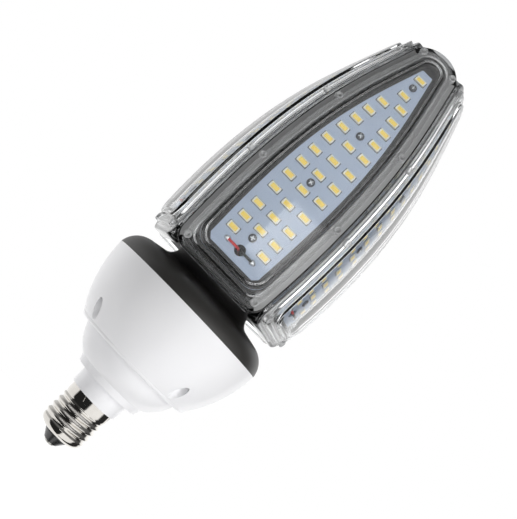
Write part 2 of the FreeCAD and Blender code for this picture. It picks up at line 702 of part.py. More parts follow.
def board_prism(margin):
    side = [facing(half + margin, COVER_BOTTOM_Z + rise)
            for rise, half in zip(BOARD_RISES, BOARD_HALF_WIDTHS)]
    side[-1] = side[-1] + facing(0, margin)
    foot = facing(BOARD_HALF_WIDTHS[0] + margin - BOARD_CHAMFER, COVER_BOTTOM_Z + BOARD_BOTTOM_RISE - margin)
    return prism([("line", [foot, side[0]]), ("curve", side)])


def face_holes(shank_r, lead_r):
    """Round cutters at the board's screws and at its lead hole."""
    screw_deep = BOARD_T + BOARD_SCREW_GRIP + 1
    bore_deep = BOARD_T + COVER_DEPTH + 2.0 * CORE_WALL
    screw = Part.makeCylinder(shank_r, screw_deep + COVER_DEPTH, FreeCAD.Vector(0, 0, -screw_deep), UP)
    bore = Part.makeCylinder(lead_r, bore_deep + COVER_DEPTH, FreeCAD.Vector(0, 0, -bore_deep), UP)
    cuts = [seated(screw, 0, rise, -BOARD_DROP) for rise in BOARD_SCREW_RISES]
    return cuts + [seated(bore, 0, LEAD_HOLE_RISE, -BOARD_DROP)]


def make_core():
    face_body = band(-COVER_DEPTH - REACH, -COVER_DEPTH)
    body = face_body
    for side in range(1, SIDES):
        body = body.common(spun(face_body, TURN * side))
    body = body.common(rod(REACH, CORE_BOTTOM_Z, CORE_TOP_Z))
    pad = board_prism(PAD_MARGIN).common(band(-COVER_DEPTH - CORE_WALL / 2.0, -PAD_DROP))
    body = body.fuse(ring_of(pad, SIDES))
    floor_z = CORE_BOTTOM_Z + CORE_FLOOR_T
    roof_z = CORE_TOP_Z - CORE_TOP_T
    heights = [floor_z + (roof_z - floor_z) * i / CAVITY_STEPS for i in range(CAVITY_STEPS + 1)]
    wall = Part.BSplineCurve()
    wall.interpolate([radial(flange_at(z)[0] - COVER_DEPTH - CORE_WALL, z) for z in heights])
    side = wall.toShape()
    start, end = side.Vertexes[0].Point, side.Vertexes[-1].Point
    cavity = revolve([side] + lines([end, radial(0, roof_z), radial(0, floor_z), start], closed=False))
    pilot_top = CORE_BOTTOM_Z + COLLAR_SCREW_GRIP + THREAD_FIT
    pilot = rod(COLLAR_SCREW_R + THREAD_FIT, CORE_BOTTOM_Z - 1, pilot_top, 0, -COLLAR_SCREW_CIRCLE_R)
    cuts = [cavity, rod(CABLE_BORE_R, CORE_BOTTOM_Z - 1, floor_z + 1)] + ring_of(pilot, SIDES, TURN / 2.0)
    for cutter in face_holes(BOARD_SCREW_R + THREAD_FIT, LEAD_HOLE_R):
        cuts += ring_of(cutter, SIDES)
    for cutter in cuts:
        body = body.cut(cutter)
    return body


save(make_core(), "core")


# Light boards, LEDs, screws, leads and solder

def make_board():
    plate = board_prism(0.0).common(band(-PAD_DROP, -BOARD_DROP))
    return plate.cut(Part.makeCompound(face_holes(BOARD_SCREW_R + SCREW_CLEARANCE, LEAD_HOLE_R)))


def make_leds():
    body = Part.makeBox(LED_W, LED_L, LED_H, FreeCAD.Vector(-LED_W / 2.0, -LED_L / 2.0, 0))
    solids = []
    for side, steps in ((-1, LEFT_LED_STEPS), (1, RIGHT_LED_STEPS), (0, MIDDLE_LED_STEPS)):
        rise = 0.0
        for step in steps:
            rise += step
            s = side * min(LED_COLUMN_S, board_half_width(rise) - LED_EDGE_INSET)
            solids.append(seated(body, s, rise, LED_LIFT - BOARD_DROP))
    return solids


def lead_path(side):
    """From the solder joint over the board, in at the hole and down to the driver."""
    z = COVER_BOTTOM_Z + LEAD_HOLE_RISE
    y = -(flange_at(z)[0] - BOARD_DROP + LEAD_R + LEAD_LIFT)
    x = side * LEAD_SPACING
    return [FreeCAD.Vector(side * (SOLDER_S - SOLDER_R / 2.0), y, z), FreeCAD.Vector(x, y, z),
            FreeCAD.Vector(x, -LEAD_BUNDLE_R, z), FreeCAD.Vector(x, -LEAD_BUNDLE_R, DRIVER_TOP_Z)]


board = make_board()
leds = make_leds()
board_screw = headed_screw(BOARD_SCREW_R, BOARD_SCREW_HEAD_R, BOARD_SCREW_HEAD_H, BOARD_T + BOARD_SCREW_GRIP)
face_screws = [seated(board_screw, 0, rise, -BOARD_DROP) for rise in BOARD_SCREW_RISES]
red_lead = lead(lead_path(-1), LEAD_R, LEAD_BEND_R)
black_lead = lead(lead_path(1), LEAD_R, LEAD_BEND_R)
drop = Part.makeCone(SOLDER_R, SOLDER_TOP_R, SOLDER_H)
drops = [seated(drop, side * SOLDER_S, LEAD_HOLE_RISE, -BOARD_DROP).cut(wire)
         for side, wire in ((-1, red_lead), (1, black_lead))]

for number in range(SIDES):
    save(spun(board, TURN * number), "led_board_%d" % (number + 1))
    save_group([spun(led, TURN * number) for led in leds], "leds_%d" % (number + 1))
save_group([s for screw in face_screws for s in ring_of(screw, SIDES)], "board_screws")
save_group(ring_of(red_lead, SIDES), "red_leads")
save_group(ring_of(black_lead, SIDES), "black_leads")
save_group([d for one in drops for d in ring_of(one, SIDES)], "solder_joints")


# Covers and the gaskets that seal them

def boss_places():
    """Side step and height of the round bosses on one half of a cover."""
    corner = step_corner(TERRACE_INSET)
    places = [on_arc(corner, COVER_CORNER_R, -CORNER_BOSS_ANGLE)]
    for rise in COVER_BOSS_RISES:
        z = COVER_BOTTOM_Z + rise
        places.append(facing(face_half_width(z, TERRACE_INSET), z))
    places.append(on_arc(facing(0, TIP_CENTRE_Z), TIP_R - TERRACE_INSET, TIP_BOSS_ANGLE))
    return places


def make_cover():
    outer = tray(0.0, -COVER_DEPTH, 0.0)
    outer = outer.fuse(step_layer(TERRACE_INSET, -COVER_WALL, TERRACE_H))
    outer = outer.fuse(step_layer(WINDOW_INSET, -COVER_WALL, WINDOW_H))
    bosses = []
    dimples = []
    boss = Part.makeCylinder(COVER_BOSS_R, TERRACE_H + COVER_BOSS_H + COVER_WALL / 2.0)
    dimple = Part.makeCylinder(BOSS_DIMPLE_R, BOSS_DIMPLE_DEPTH + 1)
    for place in boss_places():
        rise = place.z - COVER_BOTTOM_Z
        for s in (place.x, -place.x):
            bosses.append(seated(boss, s, rise, -COVER_WALL / 2.0))
            dimples.append(seated(dimple, s, rise, TERRACE_H + COVER_BOSS_H - BOSS_DIMPLE_DEPTH))
    outer = outer.fuse(bosses)
    inner = tray(COVER_WALL, -COVER_DEPTH - 1, -COVER_WALL)
    inner = inner.fuse(step_layer(TERRACE_INSET + COVER_WALL, -COVER_DEPTH - 1, TERRACE_H - COVER_WALL))
    inner = inner.fuse(step_layer(WINDOW_INSET + COVER_WALL, -COVER_DEPTH - 1, WINDOW_H - COVER_WALL))
    return outer.cut(inner).cut(Part.makeCompound(dimples))


def make_gasket():
    edge = COVER_WALL + GASKET_CLEARANCE
    return tray(edge, -COVER_DEPTH, -COVER_WALL).cut(step_layer(edge + GASKET_W, -COVER_DEPTH - 1, 0.0))


cover = make_cover()
gasket = make_gasket()
for number in range(SIDES):
    save(spun(cover, TURN * number), "cover_%d" % (number + 1))
    save(spun(gasket, TURN * number), "cover_seal_%d" % (number + 1))


# Driver

def make_driver_board():
    disc = rod(DRIVER_BOARD_R, DRIVER_BOTTOM_Z, DRIVER_TOP_Z)
    hole = rod(DRIVER_SCREW_R + SCREW_CLEARANCE, DRIVER_BOTTOM_Z - 1, DRIVER_TOP_Z + 1, 0, -POST_CIRCLE_R)
    return disc.cut(Part.makeCompound(ring_of(hole, POST_COUNT, POST_ANGLE)))


def make_driver_screws():
    length = DRIVER_BOARD_T + DRIVER_SCREW_GRIP
    screw = headed_screw(DRIVER_SCREW_R, DRIVER_SCREW_HEAD_R, DRIVER_SCREW_HEAD_H, length)
    screw.translate(FreeCAD.Vector(0, -POST_CIRCLE_R, DRIVER_TOP_Z))
    return ring_of(screw, POST_COUNT, POST_ANGLE)


def make_transformer():
    core = box_at(TRANSFORMER_CORE, TRANSFORMER_X, 0, DRIVER_BOTTOM_Z)
    low = DRIVER_BOTTOM_Z - (TRANSFORMER_CORE[2] + TRANSFORMER_COIL_H) / 2.0
    coil = rod(TRANSFORMER_COIL_R, low, low + TRANSFORMER_COIL_H, TRANSFORMER_X, 0)
    return core.fuse(coil).removeSplitter()


def hanging_can(r, height, place):
    return rod(r, DRIVER_BOTTOM_Z - height, DRIVER_BOTTOM_Z, place[0], place[1])


save(make_driver_board(), "driver_board")
save_group(make_driver_screws(), "driver_board_screws")
save(make_transformer(), "transformer")
save(hanging_can(INPUT_CAPACITOR_R, INPUT_CAPACITOR_H, INPUT_CAPACITOR_AT), "input_capacitor")
save(hanging_can(OUTPUT_CAPACITOR_R, OUTPUT_CAPACITOR_H, OUTPUT_CAPACITOR_AT), "output_capacitor")
choke_centre = FreeCAD.Vector(0, CHOKE_Y, DRIVER_BOTTOM_Z - CHOKE_R - CHOKE_WIRE_R)
save(Part.makeTorus(CHOKE_R, CHOKE_WIRE_R, choke_centre, OUT), "filter_choke")
save(box_at(RECTIFIER, RECTIFIER_AT[0], RECTIFIER_AT[1], DRIVER_BOTTOM_Z), "bridge_rectifier")
save(hanging_can(FUSE_R, FUSE_H, FUSE_AT), "line_fuse")

tip_lead = rod(MAINS_LEAD_R, CONTACT_STEM_TOP_Z, DRIVER_BOTTOM_Z)
shell_start = CAP_BAND_R - THREAD_DEPTH - CAP_WALL
shell_path = [radial(-shell_start, SHELL_JOINT_Z), radial(-MAINS_LEAD_X, SHELL_JOINT_Z),
              radial(-MAINS_LEAD_X, DRIVER_BOTTOM_Z)]
shell_lead = lead(shell_path, MAINS_LEAD_R, MAINS_BEND_R)
save_group([tip_lead, shell_lead], "mains_leads")
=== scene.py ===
import math

import bmesh
import bpy
from mathutils import Matrix, Vector
from numpy.polynomial import Polynomial


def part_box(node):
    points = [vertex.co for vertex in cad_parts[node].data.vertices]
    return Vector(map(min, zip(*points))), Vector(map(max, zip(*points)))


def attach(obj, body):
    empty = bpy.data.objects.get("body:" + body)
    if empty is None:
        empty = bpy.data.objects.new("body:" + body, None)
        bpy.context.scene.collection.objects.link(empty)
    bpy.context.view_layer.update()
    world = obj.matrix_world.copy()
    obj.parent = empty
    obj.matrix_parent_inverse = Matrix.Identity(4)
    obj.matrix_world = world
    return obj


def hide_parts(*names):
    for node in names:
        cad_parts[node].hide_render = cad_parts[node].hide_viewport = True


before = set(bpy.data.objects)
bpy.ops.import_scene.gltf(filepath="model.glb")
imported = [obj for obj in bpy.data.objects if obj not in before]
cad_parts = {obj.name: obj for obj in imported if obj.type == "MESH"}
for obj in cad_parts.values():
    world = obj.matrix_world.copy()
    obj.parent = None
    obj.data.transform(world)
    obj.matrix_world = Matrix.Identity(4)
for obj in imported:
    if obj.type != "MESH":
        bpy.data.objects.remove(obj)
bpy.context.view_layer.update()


# Screw cap shell.
# The real piece is a thin brass cup with a rolled thread, plated with bright nickel. It is pressed
# over the foot of the housing and held there by four punched stakes in its rim.

MM = 0.001
ROLLED_STRETCH = 9.0


def grey(level):
    return (level, level, level, 1.0)


class Wire:
    """One output in a node tree; sums written with it add Math nodes."""

    def __init__(self, tree, socket):
        self.tree = tree
        self.socket = socket

    def sum(self, operation, *values):
        node = self.tree.nodes.new("ShaderNodeMath")
        node.operation = operation
        for slot, value in zip(node.inputs, values):
            fill(self.tree, slot, value)
        return Wire(self.tree, node.outputs[0])

    def __add__(self, other):
        return self.sum("ADD", self, other)

    __radd__ = __add__

    def __sub__(self, other):
        return self.sum("SUBTRACT", self, other)

    def __rsub__(self, other):
        return self.sum("SUBTRACT", other, self)

    def __mul__(self, other):
        return self.sum("MULTIPLY", self, other)

    __rmul__ = __mul__

    def __truediv__(self, other):
        return self.sum("DIVIDE", self, other)

    def wave(self):
        return self.sum("SINE", self)

    def cosine(self):
        return self.sum("COSINE", self)

    def root(self):
        return self.sum("SQRT", self)

    def turn_from(self, other):
        return self.sum("ARCTAN2", self, other)

    def folded(self, width):
        return self.sum("PINGPONG", self, width)

    def clamped(self):
        return self.sum("MINIMUM", self.sum("MAXIMUM", self, 0.0), 1.0)


def fill(tree, slot, value):
    if isinstance(value, Wire):
        tree.links.new(value.socket, slot)
    else:
        slot.default_value = value


class Nodes:
    """A node tree with one method for any node and a few for common ones."""

    def __init__(self, tree):
        self.tree = tree

    def node(self, kind, settings, values, output=0):
        """Adds a node; a ramp's stops are its positions and levels of grey."""
        node = self.tree.nodes.new(kind)
        for name, value in settings.items():
            if name == "stops":
                elements = node.color_ramp.elements
                for position, level in value[2:]:
                    elements.new(position)
                for element, (position, level) in zip(elements, value):
                    element.position = position
                    element.color = grey(level)
            else:
                setattr(node, name, value)
        for name, value in values.items():
            fill(self.tree, node.inputs[name], value)
        return Wire(self.tree, node.outputs[output])

    def place(self, output="Object"):
        return self.node("ShaderNodeTexCoord", {}, {}, output)

    def axes(self, vector):
        return [self.node("ShaderNodeSeparateXYZ", {}, {"Vector": vector}, axis) for axis in "XYZ"]

    def noise(self, scale, detail=2.0, roughness=0.5, vector=None):
        values = {"Vector": vector or self.place(), "Scale": scale, "Detail": detail, "Roughness": roughness}
        return self.node("ShaderNodeTexNoise", {}, values, "Fac")

    def blend(self, share, low, high):
        """Mixes two colours."""
        return self.node("ShaderNodeMix", {"data_type": "RGBA"}, {0: share, 6: low, 7: high}, 2)

    def ray(self, kind):
        return self.node("ShaderNodeLightPath", {}, {}, "Is " + kind + " Ray")


class Finish(Nodes):
    """A material round one Principled shader, with the constants set on its sockets."""

    def __init__(self, name, **constants):
        self.material = bpy.data.materials.new(name)
        self.material.use_nodes = True
        super().__init__(self.material.node_tree)
        self.shader = self.tree.nodes["Principled BSDF"]
        for words, value in constants.items():
            self.shader.inputs[words.replace("_", " ")].default_value = value

    def bump(self, height, distance):
        values = {"Height": height, "Distance": distance, "Strength": 1.0}
        return self.node("ShaderNodeBump", {}, values, "Normal")

    def feed(self, **wires):
        for words, wire in wires.items():
            self.tree.links.new(wire.socket, self.shader.inputs[words.replace("_", " ")])
        return self


def dress(finish, *names):
    """Gives CAD nodes a finish in every material slot."""
    for name in names:
        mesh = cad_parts[name].data
        if not mesh.materials:
            mesh.materials.append(finish.material)
        for index in range(len(mesh.materials)):
            mesh.materials[index] = finish.material


def nickel_plate():
    plate = Finish("nickel plate", Base_Color=(0.74, 0.71, 0.67, 1), Metallic=1.0, Roughness=0.1)
    x, y, z = plate.axes(plate.place())
    stretched = plate.node("ShaderNodeCombineXYZ", {}, {"X": x, "Y": y, "Z": z * ROLLED_STRETCH})
    rolled = plate.noise(scale=260.0, detail=4.0, roughness=0.6, vector=stretched)
    haze = plate.noise(scale=120.0, detail=3.0, roughness=0.55)
    tone = plate.blend(haze.clamped(), (0.60, 0.57, 0.53, 1), (0.83, 0.81, 0.77, 1))
    return plate.feed(Base_Color=tone, Roughness=0.04 + rolled * 0.09, Normal=plate.bump(rolled, 0.02 * MM))


dress(nickel_plate(), "cap_shell")


# Cap insulator and centre contact.
# The insulator is a black glass-like button pressed into the shell's mouth. The contact is a small
# plated rivet through it, crimped on the inside over the live lead.

def black_button():
    button = Finish("insulator black", Base_Color=grey(0.012), Roughness=0.2, Coat_Weight=0.5)
    pits = button.noise(scale=900.0, detail=5.0, roughness=0.7)
    tone = button.blend(pits, grey(0.006), grey(0.024))
    return button.feed(Base_Color=tone, Roughness=0.14 + pits * 0.22, Normal=button.bump(pits, 0.04 * MM))


def tinned_contact():
    contact = Finish("tinned contact", Base_Color=(0.6, 0.59, 0.56, 1), Metallic=1.0, Roughness=0.3)
    wear = contact.noise(scale=1400.0, detail=4.0, roughness=0.65)
    tone = contact.blend(wear, (0.42, 0.41, 0.38, 1), (0.78, 0.77, 0.73, 1))
    return contact.feed(Base_Color=tone, Roughness=0.2 + wear * 0.3, Normal=contact.bump(wear, 0.03 * MM))


dress(black_button(), "cap_insulator")
dress(tinned_contact(), "cap_contact")


# Driver housing.
# One white polycarbonate moulding with a polished skin. Its foot carries the cap, its bowl holds the
# driver, and four deep recesses in the bowl lead to the screws that hold it to the collar.

def white_moulding():
    white = Finish("white moulding", Base_Color=(0.86, 0.86, 0.875, 1), Roughness=0.3, Coat_Weight=0.2,
                   Coat_Roughness=0.16, IOR=1.5)
    flow = white.noise(scale=26.0, detail=3.0, roughness=0.5)
    grain = white.noise(scale=2600.0, detail=2.0, roughness=0.5)
    tone = white.blend(flow, (0.835, 0.835, 0.855, 1), (0.885, 0.883, 0.893, 1))
    return white.feed(Base_Color=tone, Roughness=0.26 + grain * 0.1, Normal=white.bump(grain, 0.004 * MM))


dress(white_moulding(), "driver_housing")


# Steel screws inside.
# Zinc-plated pan-head screws: four hold the housing to the collar, five hold the collar to the core
# and three hold the driver board to its posts.

def zinc_plate():
    zinc = Finish("zinc plate", Base_Color=grey(0.5), Metallic=1.0, Roughness=0.3)
    bloom = zinc.noise(scale=1100.0, detail=4.0, roughness=0.6)
    tone = zinc.blend(bloom, (0.34, 0.34, 0.35, 1), (0.66, 0.66, 0.67, 1))
    return zinc.feed(Base_Color=tone, Roughness=0.22 + bloom * 0.2, Normal=zinc.bump(bloom, 0.02 * MM))


dress(zinc_plate(), "housing_screws", "collar_screws", "driver_board_screws")


# Collar and housing seal.
# The collar is a die casting with satin dark paint: a shallow bell over the housing's rim that draws
# in to a neck under the light body. A black rubber ring seals it to the housing.

def paint_with_neck_shade():
    """The paint darkens towards the neck as painted shade, where the covers overhang it."""
    low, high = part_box("collar")
    paint = Finish("collar paint", Base_Color=(0.028, 0.027, 0.024, 1), Roughness=0.42, IOR=1.9)
    orange_peel = paint.noise(scale=700.0, detail=3.0, roughness=0.5)
    speck = paint.noise(scale=3600.0, detail=2.0, roughness=0.6)
    height = paint.axes(paint.place())[2]
    rise = ((height - low[2]) / (high[2] - low[2])).clamped()
    tone = paint.blend(orange_peel, (0.019, 0.018, 0.016, 1), (0.028, 0.026, 0.024, 1))
    # Painted shade: the colour goes nearly black up the neck, where the covers above shade it.
    tone = paint.blend(rise, tone, (0.004, 0.004, 0.004, 1))
    relief = orange_peel * 0.7 + speck * 0.3
    return paint.feed(Base_Color=tone, Roughness=0.36 + speck * 0.16, Normal=paint.bump(relief, 0.03 * MM))


def black_rubber(name, low, high):
    rubber = Finish(name, Base_Color=low, Roughness=0.7)
    dust = rubber.noise(scale=800.0, detail=4.0, roughness=0.6)
    return rubber.feed(Base_Color=rubber.blend(dust, low, high), Roughness=0.6 + dust * 0.25,
                       Normal=rubber.bump(dust, 0.03 * MM))


dress(paint_with_neck_shade(), "collar")
dress(black_rubber("ring rubber", grey(0.012), grey(0.03)), "housing_seal")


# Core.
# One dark anodised aluminium casting with five curved faces, each with a raised pad that carries
# heat away from its light board.

def dark_casting():
    casting = Finish("core casting", Base_Color=(0.03, 0.03, 0.032, 1), Roughness=0.5, Metallic=0.2)
    sand = casting.noise(scale=900.0, detail=4.0, roughness=0.6)
    patches = casting.noise(scale=60.0, detail=2.0, roughness=0.5)
    tone = casting.blend(patches, (0.01, 0.01, 0.011, 1), (0.026, 0.025, 0.026, 1))
    return casting.feed(Base_Color=tone, Roughness=0.4 + sand * 0.2, Normal=casting.bump(sand, 0.05 * MM))


dress(dark_casting(), "core")


# Light boards.
# Five aluminium circuit boards, bent to the core's faces and lacquered in a pale lavender blue that
# sends light outwards. A white plus and minus are printed above the pads, mostly under the lowest LEDs.

SIDES = 5
TURN = 2.0 * math.pi / SIDES
COVER_BOTTOM_Z = 113.5
FLANGE_RISES = (-12.0, 0.0, 26.5, 51.5, 81.5, 106.5, 131.5, 151.5, 169.5, 180.0)
FLANGE_APOTHEMS = (38.4, 39.7, 41.5, 41.8, 40.1, 36.4, 30.4, 24.4, 19.2, 16.4)
FLANGE_DEGREE = 8
FLANGE = Polynomial.fit(FLANGE_RISES, FLANGE_APOTHEMS, FLANGE_DEGREE)
BOARD_LIFT = -2.0
PRINT_T = 0.05
SOLDER_S = 8.4
MARK_RISE = 22.6
MARK_LENGTH = 2.0
MARK_W = 0.45
MARK_CORNER = MARK_W / 4.0
SLAB_CORNER_STEPS = 3
SHARP_ANGLE = math.radians(38.0)


def seat(side, s, rise, lift):
    """The place of a small piece that is drawn along +Z and stands on a face, in metres."""
    upright = math.pi / 2.0 + math.atan(FLANGE.deriv()(rise))
    spot = Vector((s, -(FLANGE(rise) + lift), COVER_BOTTOM_Z + rise))
    turn = Matrix.Rotation(TURN * side, 4, "Z")
    return Matrix.Scale(MM, 4) @ turn @ Matrix.Translation(spot) @ Matrix.Rotation(upright, 4, "X")


def loft(mesh, rings, place, finish=0):
    """Joins rings with equal counts into a closed skin."""
    rows = [[mesh.verts.new(place @ Vector(point)) for point in ring] for ring in rings]
    faces = [mesh.faces.new(rows[0][::-1]), mesh.faces.new(rows[-1])]
    for low, high in zip(rows, rows[1:]):
        for i in range(len(low)):
            j = (i + 1) % len(low)
            faces.append(mesh.faces.new((low[i], low[j], high[j], high[i])))
    for face in faces:
        face.material_index = finish
        face.smooth = True
    return faces


def slab_ring(width, length, corner, height):
    """A rectangle with rounded corners, as one ring of points."""
    ring = []
    for quarter in range(4):
        x = (width / 2.0 - corner) * (1 if quarter in (0, 3) else -1)
        y = (length / 2.0 - corner) * (1 if quarter in (0, 1) else -1)
        for step in range(SLAB_CORNER_STEPS + 1):
            turn = math.pi / 2.0 * (quarter + step / SLAB_CORNER_STEPS)
            ring.append((x + corner * math.cos(turn), y + corner * math.sin(turn), height))
    return ring


def skin_data(name, mesh, finishes):
    """Turns a drawn skin into mesh data with its materials."""
    bmesh.ops.recalc_face_normals(mesh, faces=mesh.faces)
    data = bpy.data.meshes.new(name)
    mesh.to_mesh(data)
    mesh.free()
    for finish in finishes:
        data.materials.append(finish.material)
    return data


def stand_object(name, data):
    thing = bpy.data.objects.new(name, data)
    bpy.context.scene.collection.objects.link(thing)
    return thing


def place_piece(name, data, slot, *nodes):
    """Sets a piece on the lamp's body, in the place of the nodes named."""
    piece = stand_object(name, data)
    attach(piece, "root")
    if nodes:
        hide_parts(*nodes)


def add_piece(name, mesh, finishes, slot, *nodes):
    data = skin_data(name, mesh, finishes)
    data.set_sharp_from_angle(angle=SHARP_ANGLE)
    place_piece(name, data, slot, *nodes)


def pale_lacquer():
    lacquer = Finish("board lacquer", Base_Color=(0.46, 0.53, 0.72, 1), Roughness=0.35, Coat_Weight=0.3)
    cloud = lacquer.noise(scale=90.0, detail=3.0, roughness=0.5)
    weave = lacquer.noise(scale=1800.0, detail=3.0, roughness=0.6)
    tone = lacquer.blend(cloud, (0.42, 0.51, 0.67, 1), (0.49, 0.58, 0.73, 1))
    return lacquer.feed(Base_Color=tone, Roughness=0.3 + weave * 0.14, Normal=lacquer.bump(weave, 0.01 * MM))


def white_print():
    ink = Finish("white print", Base_Color=grey(0.8), Roughness=0.5)
    grain = ink.noise(scale=2400.0, detail=3.0, roughness=0.6)
    return ink.feed(Base_Color=ink.blend(grain, grey(0.66), grey(0.86)), Normal=ink.bump(grain, 0.01 * MM))


def board_marks(side):
    """The plus by the red lead and the minus by the black one."""
    mesh = bmesh.new()
    for s, bars in ((-SOLDER_S, ((MARK_LENGTH, MARK_W), (MARK_W, MARK_LENGTH))),
                    (SOLDER_S, ((MARK_LENGTH, MARK_W),))):
        for width, length in bars:
            rings = [slab_ring(width, length, MARK_CORNER, height) for height in (-PRINT_T, PRINT_T)]
            loft(mesh, rings, seat(side, s, MARK_RISE, BOARD_LIFT))
    return mesh


dress(pale_lacquer(), *["led_board_%d" % (i + 1) for i in range(SIDES)])
ink = white_print()
for i in range(SIDES):
    add_piece("board_marks_%d" % (i + 1), board_marks(i), [ink], "light_board")


# LEDs.
# Thirty-three on each board, in three columns that draw together towards the tip. Each is a cream
# case with tinned ends, reflowed on to its pads, with a well full of yellow phosphor in silicone.

LED_LIFT = 0.02
LEFT_LED_STEPS = (24.0, 7.7, 8.8, 11.0, 9.6, 9.2, 8.6, 9.0, 9.5, 8.5, 8.2, 8.6)
RIGHT_LED_STEPS = (24.0, 7.7, 9.2, 10.1, 10.7, 10.0, 10.2, 10.9, 9.4, 7.9, 8.0, 8.5)
MIDDLE_LED_STEPS = (32.0, 8.7, 9.3, 10.2, 10.9, 10.2, 10.8, 41.7, 13.3)
LED_COLUMN_S = 10.3
LED_EDGE_INSET = 5.3
BOARD_RISES = (14.8, 36.5, 58.5, 86.5, 116.5, 131.5, 153.5)
BOARD_HALF_WIDTHS = (16.3, 17.2, 17.4, 16.0, 11.7, 8.6, 3.5)
CASE_RINGS = ((6.0, 3.3, 0.2, 0.0), (6.0, 3.3, 0.2, 0.8), (5.92, 3.22, 0.2, 0.88), (4.7, 2.4, 0.45, 0.88),
              (4.4, 2.15, 0.4, 0.6))
WELL_RINGS = ((4.45, 2.2, 0.4, 0.5), (4.45, 2.2, 0.4, 0.76), (3.4, 1.5, 0.35, 0.82))
TAB_RINGS = ((0.5, 2.1, 0.1, 0.0), (0.5, 2.1, 0.1, 0.34), (0.4, 2.0, 0.1, 0.4))
TAB_X = 3.0
# These rings draw a thin dark sheet round each LED's foot: a painted shadow.
PAD_SHADOW_RINGS = ((7.2, 3.9, 0.3, -0.05), (7.2, 3.9, 0.3, 0.01))
CASE = 0
PHOSPHOR = 1
PAD_SHADOW = 2
TAB = 3


def board_half_width(rise):
    for i in range(len(BOARD_RISES) - 1):
        if BOARD_RISES[i] <= rise <= BOARD_RISES[i + 1]:
            share = (rise - BOARD_RISES[i]) / (BOARD_RISES[i + 1] - BOARD_RISES[i])
            return BOARD_HALF_WIDTHS[i] + share * (BOARD_HALF_WIDTHS[i + 1] - BOARD_HALF_WIDTHS[i])
    return BOARD_HALF_WIDTHS[-1]


def led_places():
    """Side step and rise of each LED on one board."""
    for column, steps in ((-1, LEFT_LED_STEPS), (1, RIGHT_LED_STEPS), (0, MIDDLE_LED_STEPS)):
        rise = 0.0
        for step in steps:
            rise += step
            yield column * min(LED_COLUMN_S, board_half_width(rise) - LED_EDGE_INSET), rise


def cream_case():
    case = Finish("led case", Base_Color=(0.88, 0.85, 0.7, 1), Roughness=0.4)
    grain = case.noise(scale=3000.0, detail=3.0, roughness=0.6)
    tone = case.blend(grain, (0.9, 0.86, 0.68, 1), (0.98, 0.95, 0.8, 1))
    return case.feed(Base_Color=tone, Roughness=0.34 + grain * 0.16, Normal=case.bump(grain, 0.01 * MM))


def phosphor_with_painted_glow():
    # The faint yellow emission is a painted glow, not light from a working LED.
    phosphor = Finish("phosphor", Base_Color=(0.95, 0.7, 0.1, 1), Roughness=0.3, Coat_Weight=0.6,
                      Coat_Roughness=0.12, Emission_Color=(1.0, 0.72, 0.08, 1), Emission_Strength=0.12)
    settled = phosphor.noise(scale=1500.0, detail=4.0, roughness=0.65)
    tone = phosphor.blend(settled, (0.92, 0.6, 0.05, 1), (1.0, 0.82, 0.16, 1))
    return phosphor.feed(Base_Color=tone, Roughness=0.22 + settled * 0.2,
                         Normal=phosphor.bump(settled, 0.015 * MM))


# Painted shadow: the dark sheet round each LED's foot.
def painted_pad_shadow():
    shadow_sheet = Finish("pad shadow", Base_Color=(0.09, 0.1, 0.13, 1), Roughness=0.5)
    shade_mottle = shadow_sheet.noise(scale=2000.0, detail=3.0, roughness=0.6)
    return shadow_sheet.feed(Base_Color=shadow_sheet.blend(shade_mottle, (0.05, 0.06, 0.08, 1), (0.16, 0.17, 0.2, 1)),
                     Roughness=0.35 + shade_mottle * 0.3, Normal=shadow_sheet.bump(shade_mottle, 0.01 * MM))


def bright_solder():
    solder = Finish("solder", Base_Color=(0.7, 0.71, 0.72, 1), Metallic=1.0, Roughness=0.2)
    frost = solder.noise(scale=1300.0, detail=4.0, roughness=0.6)
    tone = solder.blend(frost, (0.52, 0.53, 0.55, 1), (0.84, 0.85, 0.86, 1))
    return solder.feed(Base_Color=tone, Roughness=0.12 + frost * 0.24, Normal=solder.bump(frost, 0.03 * MM))


def leds(side):
    mesh = bmesh.new()
    for s, rise in led_places():
        place = seat(side, s, rise, BOARD_LIFT + LED_LIFT)
        for rings, finish in ((PAD_SHADOW_RINGS, PAD_SHADOW), (CASE_RINGS, CASE), (WELL_RINGS, PHOSPHOR)):
            loft(mesh, [slab_ring(*ring) for ring in rings], place, finish)
        for end in (-TAB_X, TAB_X):
            loft(mesh, [slab_ring(*ring) for ring in TAB_RINGS], place @ Matrix.Translation((end, 0, 0)), TAB)
    return mesh


solder = bright_solder()
led_finishes = [cream_case(), phosphor_with_painted_glow(), painted_pad_shadow(), solder]
for i in range(SIDES):
    add_piece("led_rows_%d" % (i + 1), leds(i), led_finishes, "led_cases", "leds_%d" % (i + 1))


# Board screws.
# Four blackened steel pan-head screws hold each board to its pad on the core. Their cross recesses are
# bright steel, a painted glint.

BOARD_SCREW_RISES = (26.7, 65.6, 100.4, 141.0)
SCREW_SHANK_R = 1.5
SCREW_REACH = 6.6
SCREW_HEAD = ((1.5, 0.0), (2.12, 0.0), (2.15, 0.25), (2.05, 0.75), (1.75, 1.1), (1.4, 1.24))
CROSS_ARM = 1.3
CROSS_HALF_W = 0.34
CROSS_DEPTH = 0.85
CROSS_TAPER = 0.72
SCREW_STEPS = 48
SCREW_TURNS = (18.0, -25.0, 40.0, 7.0)
SCREW_SIDE_TURN = 30.0
BLACKENED = 0
GLINT_RECESS = 1


def round_ring(r, height, steps=SCREW_STEPS):
    return [(r * math.cos(2.0 * math.pi * i / steps), r * math.sin(2.0 * math.pi * i / steps), height)
            for i in range(steps)]


